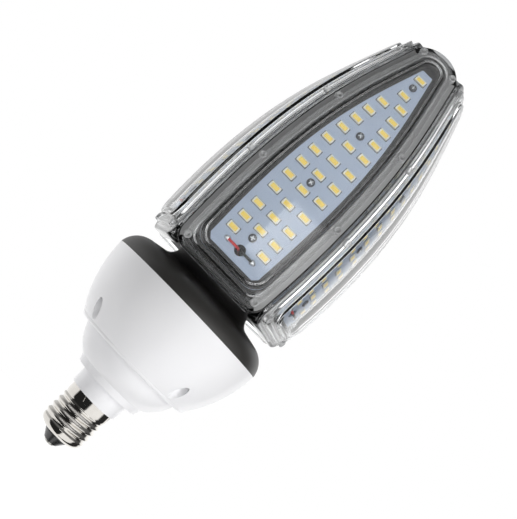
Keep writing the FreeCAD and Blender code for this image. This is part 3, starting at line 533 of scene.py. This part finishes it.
def cross_ring(share, height):
    """The outline of the cross recess: two crossed slots with square ends."""
    ring = []
    for i in range(SCREW_STEPS):
        turn = 2.0 * math.pi * (i + 0.5) / SCREW_STEPS
        narrow = min(abs(math.sin(turn)), abs(math.cos(turn)))
        r = min(CROSS_ARM, CROSS_HALF_W / narrow) * share
        ring.append((r * math.cos(turn), r * math.sin(turn), height))
    return ring


def screw_steel(name, low, high):
    steel = Finish(name, Base_Color=low, Metallic=1.0, Roughness=0.35)
    oil = steel.noise(scale=1500.0, detail=4.0, roughness=0.6)
    tone = steel.blend(oil, low, high)
    return steel.feed(Base_Color=tone, Roughness=0.24 + oil * 0.25, Normal=steel.bump(oil, 0.02 * MM))


def cross_screws():
    """All twenty; a recess is the skin's last cap and its last row of faces."""
    mesh = bmesh.new()
    top = SCREW_HEAD[-1][1]
    rings = [round_ring(SCREW_SHANK_R, -SCREW_REACH)] + [round_ring(*size) for size in SCREW_HEAD]
    rings += [cross_ring(1.0, top), cross_ring(CROSS_TAPER, top - CROSS_DEPTH)]
    for side in range(SIDES):
        for rise, turn in zip(BOARD_SCREW_RISES, SCREW_TURNS):
            twist = Matrix.Rotation(math.radians(turn + SCREW_SIDE_TURN * side), 4, "Z")
            faces = loft(mesh, rings, seat(side, 0.0, rise, BOARD_LIFT) @ twist, BLACKENED)
            # The recess faces take the bright steel: a painted glint.
            for face in faces[1:2] + faces[-SCREW_STEPS:]:
                face.material_index = GLINT_RECESS
    return mesh


screw_finishes = [screw_steel("black steel", (0.035, 0.04, 0.05, 1), (0.12, 0.125, 0.135, 1)),
                  screw_steel("glinting steel", (0.5, 0.52, 0.54, 1), (0.8, 0.82, 0.84, 1))]
add_piece("cross_head_screws", cross_screws(), screw_finishes, "steel_screws", "board_screws")


# Leads and solder joints.
# A red lead and a black one cross each board from its wire hole to two pads, and each is fixed there
# by a bright solder blob with a slightly uneven foot.

LEAD_HOLE_RISE = 18.3
SOLDER_PROFILE = ((1.75, -0.05), (1.62, 0.1), (1.4, 0.35), (1.12, 0.72), (0.78, 1.02), (0.36, 1.2))
SOLDER_WOBBLE = 0.07
SOLDER_STEPS = 28


def insulation(name, low, high):
    skin = Finish(name, Base_Color=low, Roughness=0.35)
    scuff = skin.noise(scale=1600.0, detail=4.0, roughness=0.6)
    return skin.feed(Base_Color=skin.blend(scuff, low, high), Roughness=0.28 + scuff * 0.2,
                     Normal=skin.bump(scuff, 0.01 * MM))


def blob_ring(r, height, phase):
    ring = []
    for i in range(SOLDER_STEPS):
        turn = 2.0 * math.pi * i / SOLDER_STEPS
        wide = r * (1.0 + SOLDER_WOBBLE * math.sin(3.0 * turn + phase) + SOLDER_WOBBLE * math.cos(2.0 * turn))
        ring.append((wide * math.cos(turn), wide * math.sin(turn), height))
    return ring


def solder_blobs():
    mesh = bmesh.new()
    for side in range(SIDES):
        for s in (-SOLDER_S, SOLDER_S):
            rings = [blob_ring(r, height, side + s) for r, height in SOLDER_PROFILE]
            loft(mesh, rings, seat(side, s, LEAD_HOLE_RISE, BOARD_LIFT))
    return mesh


dress(insulation("red insulation", (0.66, 0.008, 0.01, 1), (0.82, 0.02, 0.02, 1)), "red_leads")
dress(insulation("black insulation", (0.006, 0.014, 0.01, 1), (0.02, 0.03, 0.024, 1)), "black_leads")
add_piece("solder_blobs", solder_blobs(), [solder], "solder", "solder_joints")


# Gaskets.
# A wide black silicone frame under each cover's edge keeps water out of the light body. Along its two
# sides it carries a grey band, partly the seal's own grey and partly painted light, paler towards the foot.

# The grey band lies between a rim and the window, by insets from the cover's edge
SEAL_RIM = 2.2 * MM
SEAL_RIM_FADE = 0.2 * MM
SEAL_PALE_EDGE = 6.2 * MM
SEAL_DARK_EDGE = 7.6 * MM
SEAL_FOOT_EDGE = 5.0 * MM
SEAL_FOOT_FADE = 5.0 * MM
SEAL_TOP_OFFSET = 0.45 * MM
SEAL_BLACK = 0.01
SEAL_FOOT_GREY_AND_LIGHT = 0.4
SEAL_TIP_GREY_AND_LIGHT = 0.12
SEAL_LIGHT_FADE_RISE = 120 * MM
BAND_LEAST = 0.8
BAND_SPREAD = 0.3


def silicone_with_painted_light():
    silicone = Finish("seal silicone", Base_Color=grey(0.3), Roughness=0.6)
    x, y, z = silicone.axes(silicone.place())
    fold = x.turn_from(y * -1.0).folded(TURN / 2.0)
    reach = (x * x + y * y).root()
    inset = reach * (fold.cosine() * math.tan(TURN / 2.0) - fold.wave()) + SEAL_TOP_OFFSET
    rise = z - COVER_BOTTOM_Z * MM
    grey_band = ((inset - SEAL_RIM) / SEAL_RIM_FADE).clamped()
    grey_band = grey_band * ((rise - SEAL_FOOT_EDGE) / SEAL_FOOT_FADE).clamped()
    grey_band = grey_band * (1.0 - ((inset - SEAL_PALE_EDGE) / (SEAL_DARK_EDGE - SEAL_PALE_EDGE)).clamped())
    band_mottle = silicone.noise(scale=700.0, detail=4.0, roughness=0.6)
    # Painted light: the band is paler at the foot and darker towards the tip, as if lit from below.
    grey_and_painted_light = silicone.blend((rise / SEAL_LIGHT_FADE_RISE).clamped(), grey(SEAL_FOOT_GREY_AND_LIGHT), grey(SEAL_TIP_GREY_AND_LIGHT))
    tone = silicone.blend(grey_band * (BAND_LEAST + band_mottle * BAND_SPREAD), grey(SEAL_BLACK), grey_and_painted_light)
    return silicone.feed(Base_Color=tone, Roughness=0.55 + band_mottle * 0.25, Normal=silicone.bump(band_mottle, 0.03 * MM))


dress(silicone_with_painted_light(), *["cover_seal_%d" % (i + 1) for i in range(SIDES)])


# Covers.
# Five like clear polycarbonate mouldings, 2 mm thick: a skirt down to the core, a flange, a terrace
# with eight dimpled bosses where ejector pins pushed, and a raised window. All the steps are rounded.

COVER_LENGTH = 169.5
COVER_GAP = 1.0
COVER_DEPTH = 7.0
CORNER_R = 8.0
TIP_R = 16.0
TIP_LEAVE = math.radians(20.0)
TERRACE_INSET = 3.7
SLOPE = math.tan(TURN / 2.0)
MITRE = math.cos(TURN / 2.0)
CORNER_STEPS = 8
SIDE_STEPS = 56
TIP_STEPS = 12
FIT_POWER = 4
CORNER_KEEP = 2.5
# The wall's section as insets from the edge and lifts over the flange, from the skirt to the window
OUTER_STEPS = ((0.0, -COVER_DEPTH), (0.0, -0.9), (0.13, -0.4), (0.4, -0.13), (0.9, 0.0), (3.1, 0.0),
               (3.42, 0.12), (3.58, 0.5), (3.68, 1.3), (3.78, 1.88), (3.95, 2.1), (4.3, 2.2), (7.2, 2.2),
               (7.52, 2.28), (7.67, 2.5), (7.76, 3.2), (7.86, 3.95), (8.02, 4.27), (8.4, 4.4))
INNER_STEPS = ((2.0, -COVER_DEPTH), (2.0, -2.6), (2.2, -2.05), (2.7, -1.9), (5.0, -1.9), (5.5, -1.7),
               (5.75, -1.1), (5.9, -0.4), (6.2, 0.05), (6.8, 0.2), (9.1, 0.2), (9.5, 0.33), (9.72, 0.8),
               (9.86, 1.6), (10.1, 2.15), (10.6, 2.4))
BOSS_RISES = (58.0, 107.0)
CORNER_BOSS_TURN = math.radians(-45.0)
TIP_BOSS_TURN = math.radians(35.0)
BOSS_PROFILE = ((2.1, -1.0), (2.1, 2.4), (2.02, 2.6), (1.8, 2.7), (1.3, 2.7), (1.08, 2.58), (0.95, 2.2),
                (0.62, 1.96), (0.2, 1.9))
BOSS_STEPS = 28
COVER_SHARP = math.radians(60.0)
RIPPLE_DEPTH = 0.015 * MM
SATIN_TINT = (0.94, 0.95, 0.955, 1)
WINDOW_TINT = (0.95, 0.96, 0.965, 1)
# The dark tint on the cover's outer edge and tip is painted shade.
EDGE_SHADE_TINT = (0.3, 0.305, 0.31, 1)
WINDOW_EDGE = 7.1
SKIRT_LIFT = -2.3
EDGE_INSET = 0.5
FLANGE_INSET = 3.5
SATIN = 0
POLISHED = 1
SHADED_EDGE = 2
FROSTED = 3


def side_width(z, inset):
    """Half the width at a height, in from the mitre by an inset."""
    extra = (1.0 / MITRE - 1.0) * max(0.0, min(inset, TERRACE_INSET - inset))
    return SLOPE * FLANGE(z - COVER_BOTTOM_Z) - COVER_GAP - inset - extra


def corner_at(inset):
    """Radius and centre of the foot's corner, which tightens over the flange and opens at the terrace."""
    grown = CORNER_R - 2.0 * CORNER_KEEP + inset + (inset - CORNER_KEEP)
    r = CORNER_R - inset if inset < CORNER_KEEP else min(CORNER_R, grown)
    z = COVER_BOTTOM_Z + inset + r
    return r, side_width(z, inset) - r, z


def half_outline(inset):
    """Side steps and heights up the right half of the outline, from foot to tip."""
    r, centre_s, centre_z = corner_at(inset)
    points = []
    for i in range(CORNER_STEPS):
        turn = math.pi / 2.0 * (i / CORNER_STEPS - 1.0)
        points.append((centre_s + r * math.cos(turn), centre_z + r * math.sin(turn)))
    tip_r = TIP_R - inset
    tip_z = COVER_BOTTOM_Z + COVER_LENGTH - TIP_R
    leave_s = tip_r * math.cos(TIP_LEAVE)
    leave_z = tip_z + tip_r * math.sin(TIP_LEAVE)
    miss = leave_s - side_width(leave_z, inset)
    for i in range(SIDE_STEPS):
        share = i / SIDE_STEPS
        z = centre_z + share * (leave_z - centre_z)
        points.append((side_width(z, inset) + miss * share ** FIT_POWER, z))
    for i in range(TIP_STEPS + 1):
        turn = TIP_LEAVE + (math.pi / 2.0 - TIP_LEAVE) * i / TIP_STEPS
        points.append((tip_r * math.cos(turn), tip_z + tip_r * math.sin(turn)))
    return points


def cover_ring(inset, lift):
    """One ring round the cover, kept inside the mitre where it lies below the flange."""
    right = []
    for s, z in half_outline(inset):
        reach = side_width(z, inset) + SLOPE * min(lift, 0.0)
        right.append(Vector((min(s, reach), -(FLANGE(z - COVER_BOTTOM_Z) + lift), z)))
    left = [Vector((-point.x, point.y, point.z)) for point in right[-2::-1]]
    return right + left


def step_finish(inset, lift, i, count):
    """The outer edge and the tip get a dark tint, a painted shade; the window, foot and skirt are clear, the
    flange frosted.
    """
    at_foot = i < CORNER_STEPS / 2 or i >= count - 1 - CORNER_STEPS / 2
    at_tip = abs(i - count // 2) < TIP_STEPS and inset < FLANGE_INSET
    if inset < EDGE_INSET or at_tip:
        return SHADED_EDGE
    if inset > WINDOW_EDGE or lift < SKIRT_LIFT or at_foot:
        return POLISHED
    return SATIN if inset > FLANGE_INSET else FROSTED


def cover_blank():
    """The moulding of the first side, in millimetres, before its bosses."""
    mesh = bmesh.new()
    steps = list(reversed(INNER_STEPS)) + list(OUTER_STEPS)
    rows = [[mesh.verts.new(point) for point in cover_ring(*step)] for step in steps]
    count = len(rows[0])
    for (inset, lift), low, high in zip(steps, rows, rows[1:]):
        for i in range(count):
            j = (i + 1) % count
            face = mesh.faces.new((low[i], low[j], high[j], high[i]))
            face.material_index = step_finish(inset, lift, i, count)
    for row in (rows[0], rows[-1]):
        for i in range(count // 2):
            corners = [row[i], row[i + 1], row[count - 2 - i], row[count - 1 - i]]
            mesh.faces.new(list(dict.fromkeys(corners))).material_index = POLISHED
    return mesh


def boss_spots():
    r, s, z = corner_at(TERRACE_INSET)
    tip_r = TIP_R - TERRACE_INSET
    tip_z = COVER_BOTTOM_Z + COVER_LENGTH - TIP_R
    spots = [(s + r * math.cos(CORNER_BOSS_TURN), z + r * math.sin(CORNER_BOSS_TURN)),
             (tip_r * math.cos(TIP_BOSS_TURN), tip_z + tip_r * math.sin(TIP_BOSS_TURN))]
    for rise in BOSS_RISES:
        spots.append((side_width(COVER_BOTTOM_Z + rise, TERRACE_INSET), COVER_BOTTOM_Z + rise))
    return spots + [(-s, z) for s, z in spots]


def bosses():
    mesh = bmesh.new()
    rings = [round_ring(r, height, BOSS_STEPS) for r, height in BOSS_PROFILE]
    for s, z in boss_spots():
        loft(mesh, rings, Matrix.Scale(1.0 / MM, 4) @ seat(0, s, z - COVER_BOTTOM_Z, 0.0), FROSTED)
    return mesh


def cover_moulding(finishes):
    """The blank and its bosses as one skin."""
    blank = stand_object("cover blank", skin_data("cover blank", cover_blank(), finishes))
    pins = stand_object("cover bosses", skin_data("cover bosses", bosses(), finishes))
    union = blank.modifiers.new("bosses", "BOOLEAN")
    union.operation = "UNION"
    union.solver = "EXACT"
    union.object = pins
    seen = blank.evaluated_get(bpy.context.evaluated_depsgraph_get())
    data = bpy.data.meshes.new_from_object(seen)
    for solid in (blank, pins):
        bpy.data.objects.remove(solid)
    data.transform(Matrix.Scale(MM, 4))
    for face in data.polygons:
        face.use_smooth = True
    data.set_sharp_from_angle(angle=COVER_SHARP)
    return data


def clear_polycarbonate(name, tint, smooth, rough, clearness):
    """The moulding takes the mould's finish, from polished to frosted."""
    clear = Finish(name, Base_Color=tint, Roughness=smooth, IOR=1.585, Transmission_Weight=clearness)
    grain = clear.noise(scale=500.0, detail=3.0, roughness=0.5)
    ripple = clear.noise(scale=70.0, detail=1.0, roughness=0.4)
    return clear.feed(Roughness=smooth + grain * (rough - smooth), Normal=clear.bump(ripple, RIPPLE_DEPTH))


cover_finishes = [
    clear_polycarbonate("satin polycarbonate", SATIN_TINT, smooth=0.05, rough=0.14, clearness=0.84),
    clear_polycarbonate("polished polycarbonate", WINDOW_TINT, smooth=0.015, rough=0.065, clearness=1.0),
    clear_polycarbonate("shaded edge polycarbonate", EDGE_SHADE_TINT, smooth=0.03, rough=0.1, clearness=1.0),
    clear_polycarbonate("frosted polycarbonate", SATIN_TINT, smooth=0.08, rough=0.2, clearness=0.68)]
moulding = cover_moulding(cover_finishes)
for i in range(SIDES):
    copy = moulding.copy()
    copy.transform(Matrix.Rotation(TURN * i, 4, "Z"))
    place_piece("clear_cover_%d" % (i + 1), copy, "clear_cover", "cover_%d" % (i + 1))


# Driver.
# It hangs inside the housing: a green board on three posts with a taped transformer, two sleeved
# capacitors, a copper choke, a rectifier and a fuse under it, and two white leads from the cap.

TAPE_LAYERS = 4000.0
TAPE_SLACK = 3.0
CHOKE_TURNS = 40.0


def green_resist():
    resist = Finish("solder resist", Base_Color=(0.03, 0.18, 0.07, 1), Roughness=0.3, Coat_Weight=0.4)
    weave = resist.noise(scale=1400.0, detail=3.0, roughness=0.6)
    tone = resist.blend(weave, (0.018, 0.12, 0.045, 1), (0.05, 0.25, 0.1, 1))
    return resist.feed(Base_Color=tone, Roughness=0.24 + weave * 0.2, Normal=resist.bump(weave, 0.02 * MM))


def wound_tape():
    tape = Finish("yellow tape", Base_Color=(0.7, 0.45, 0.04, 1), Roughness=0.35)
    height = tape.axes(tape.place())[2]
    layers = (height * TAPE_LAYERS + tape.noise(scale=300.0) * TAPE_SLACK).wave() * 0.5 + 0.5
    tone = tape.blend(layers, (0.62, 0.38, 0.03, 1), (0.78, 0.55, 0.07, 1))
    return tape.feed(Base_Color=tone, Roughness=0.3 + layers * 0.12, Normal=tape.bump(layers, 0.05 * MM))


def copper_turns():
    """Enamelled wire wound round the ring, one turn beside the next."""
    low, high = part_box("filter_choke")
    wire = Finish("copper wire", Base_Color=(0.5, 0.16, 0.05, 1), Metallic=0.8, Roughness=0.3)
    x, z = wire.axes(wire.place())[::2]
    around = (z - (low[2] + high[2]) / 2.0).turn_from(x - (low[0] + high[0]) / 2.0)
    turns = (around * CHOKE_TURNS).wave() * 0.5 + 0.5
    tone = wire.blend(turns, (0.24, 0.06, 0.02, 1), (0.66, 0.24, 0.08, 1))
    return wire.feed(Base_Color=tone, Roughness=0.2 + turns * 0.15, Normal=wire.bump(turns, 0.3 * MM))


def moulded(name, low, high, scale, roughness):
    body = Finish(name, Base_Color=low, Roughness=roughness)
    grain = body.noise(scale, detail=4.0, roughness=0.6)
    return body.feed(Base_Color=body.blend(grain, low, high), Roughness=roughness + grain * 0.15,
                     Normal=body.bump(grain, 0.02 * MM))


dress(green_resist(), "driver_board")
dress(wound_tape(), "transformer")
dress(moulded("capacitor sleeve", (0.012, 0.012, 0.02, 1), (0.03, 0.03, 0.045, 1), scale=500.0,
               roughness=0.2),
      "input_capacitor", "output_capacitor")
dress(copper_turns(), "filter_choke")
dress(moulded("black epoxy", grey(0.012), grey(0.028), scale=1500.0, roughness=0.45),
      "bridge_rectifier", "line_fuse")
dress(insulation("white insulation", grey(0.62), grey(0.76)), "mains_leads")


# Studio.
# A pale paper floor below the lamp and three soft lamps that only matt surfaces show. How bright the
# white surround looks in metal, and through the clear covers, goes by the direction.

FLOOR_DROP = 150 * MM
FLOOR_SIZE = 1.8
FLOOR_LIFT = 0.85
TABLE_GLOW = 0.35
ROOM_LIGHT = 0.29
CEILING_LIGHT = 0.15
CEILING_EDGE = 0.35
CEILING_FADE = 2.5
TOP_EDGE = 0.6
TOP_FADE = 4.0
TOP_DIM = 0.3
HORIZON = 0.0
SKYLINE = 0.24
EDGE_SHARPNESS = 40.0


def pale_floor():
    paper = Finish("pale floor", Base_Color=grey(0.9), Roughness=0.8, Emission_Strength=FLOOR_LIFT)
    fibre = paper.noise(scale=40.0, detail=2.0, roughness=0.5)
    seen = (paper.ray("Camera") + paper.ray("Glossy") + paper.ray("Transmission")).clamped()
    lit = TABLE_GLOW + seen * (1.0 - TABLE_GLOW)
    return paper.feed(Base_Color=paper.blend(fibre, grey(0.89), grey(0.91)), Emission_Color=lit)


bpy.ops.mesh.primitive_plane_add(size=FLOOR_SIZE, location=(0, 0, -FLOOR_DROP))
floor = bpy.context.object
floor.name = "floor"
floor.data.materials.append(pale_floor().material)
floor.visible_glossy = False

# How bright the room looks to metal and gloss, by the turn from the lamp's front towards +X
ROOM_BELOW = ((-180.0, 1.1), (-72.0, 1.0), (-66.0, 0.02), (14.0, 0.02), (20.0, 1.1), (88.0, 1.1),
              (96.0, 0.03), (136.0, 0.03), (145.0, 1.2), (180.0, 1.1))
ROOM_LEVEL = ((-180.0, 0.7), (-146.0, 0.7), (-76.0, 0.5), (-64.0, 0.05), (-3.9, 0.05), (-3.6, 1.7),
              (46.0, 1.3), (60.0, 0.5), (96.0, 0.1), (130.0, 0.1), (141.0, 1.3), (180.0, 1.3))
ROOM_ABOVE = ((-180.0, 0.7), (-72.0, 0.6), (-66.0, 0.04), (14.0, 0.04), (22.0, 0.6), (88.0, 0.5),
              (97.0, 0.05), (133.0, 0.05), (142.0, 1.2), (180.0, 1.2))
# How bright it looks through the clear covers
ROOM_THROUGH = ((-180.0, 1.0), (-128.0, 1.0), (-118.0, 0.1), (-62.0, 0.1), (-52.0, 1.65), (52.0, 1.65),
                (62.0, 0.1), (118.0, 0.1), (128.0, 1.0), (180.0, 1.0))


def studio_surround():
    world = bpy.data.worlds.new("studio")
    world.use_nodes = True
    bpy.context.scene.world = world
    sky = Nodes(world.node_tree)
    x, y, z = sky.axes(sky.place("Generated"))
    turn = x.turn_from(y * -1.0) / (2.0 * math.pi) + 0.5
    below, level, above, through = [
        sky.node("ShaderNodeValToRGB", {"stops": [(angle / 360.0 + 0.5, light) for angle, light in room]},
                 {"Fac": turn}, "Color")
        for room in (ROOM_BELOW, ROOM_LEVEL, ROOM_ABOVE, ROOM_THROUGH)]
    lifted = ((z - HORIZON) * EDGE_SHARPNESS).clamped()
    high = ((z - SKYLINE) * EDGE_SHARPNESS).clamped()
    walls = below + lifted * (level - below) + high * (above - level)
    overhead = ((z - CEILING_EDGE) * CEILING_FADE).clamped()
    through = through * (1.0 - ((z - TOP_EDGE) * TOP_FADE).clamped() * TOP_DIM)
    room = walls + overhead * (CEILING_LIGHT - walls)
    even = ROOM_LIGHT * (1.0 - overhead * (1.0 - CEILING_LIGHT))
    strength = even + sky.ray("Glossy") * (room - even) + sky.ray("Transmission") * (through - even)
    strength = strength + sky.ray("Camera") * (1.0 - strength)
    back = world.node_tree.nodes["Background"]
    back.inputs["Color"].default_value = grey(1.0)
    sky.tree.links.new(strength.socket, back.inputs["Strength"])


def soft_lamp(name, size, place, aim, power):
    light = bpy.data.lights.new(name, "AREA")
    light.shape = "RECTANGLE"
    light.size, light.size_y = size
    light.energy = power
    lamp = stand_object(name, light)
    lamp.location = place
    lamp.rotation_euler = (Vector(aim) - Vector(place)).to_track_quat("-Z", "Y").to_euler()
    lamp.visible_glossy = False
    lamp.visible_transmission = False


studio_surround()
soft_lamp("front softbox", size=(0.66, 0.45), place=(0.3, -0.72, 0.126), aim=(0, 0, 0.126), power=1.25)
soft_lamp("right softbox", size=(0.3, 0.7), place=(0.7, -0.51, 0.22), aim=(0, 0, 0.12), power=3.5)
soft_lamp("left softbox", size=(0.5, 0.9), place=(-0.74, 0.32, 0.13), aim=(0, 0, 0.1), power=4.8)

# The camera stands in front of the first side and is rolled, so the lamp lies across the picture
EYE_DISTANCE = 436 * MM
EYE_HEIGHT = 82.7 * MM
EYE_AZIMUTH = math.radians(4.2)
EYE_PAN = math.radians(0.9)
EYE_PITCH = math.radians(7.55)
ROLL = math.radians(46.3)
FOCAL_PIXELS = 843.0
PHOTO_LONG_SIDE = 519
CLIP_START = 0.01


def stand_camera():
    data = bpy.data.cameras.new("camera")
    camera = stand_object("camera", data)
    forward = Vector((-math.sin(EYE_AZIMUTH), math.cos(EYE_AZIMUTH), 0))
    right = Vector((math.cos(EYE_AZIMUTH), math.sin(EYE_AZIMUTH), 0))
    up = Vector((0, 0, 1))
    place = Vector((EYE_DISTANCE * math.sin(EYE_AZIMUTH), -EYE_DISTANCE * math.cos(EYE_AZIMUTH), EYE_HEIGHT))
    forward, up = (forward * math.cos(EYE_PITCH) + up * math.sin(EYE_PITCH),
                   up * math.cos(EYE_PITCH) - forward * math.sin(EYE_PITCH))
    forward, right = (forward * math.cos(EYE_PAN) + right * math.sin(EYE_PAN),
                      right * math.cos(EYE_PAN) - forward * math.sin(EYE_PAN))
    rolled_right = right * math.cos(ROLL) + up * math.sin(ROLL)
    rolled_up = up * math.cos(ROLL) - right * math.sin(ROLL)
    turn = Matrix((rolled_right, rolled_up, -forward)).transposed()
    camera.matrix_world = Matrix.Translation(place) @ turn.to_4x4()
    data.lens = FOCAL_PIXELS * data.sensor_width / PHOTO_LONG_SIDE
    data.clip_start = CLIP_START
    bpy.context.scene.camera = camera


stand_camera()
bpy.context.scene.view_settings.view_transform = "Standard"
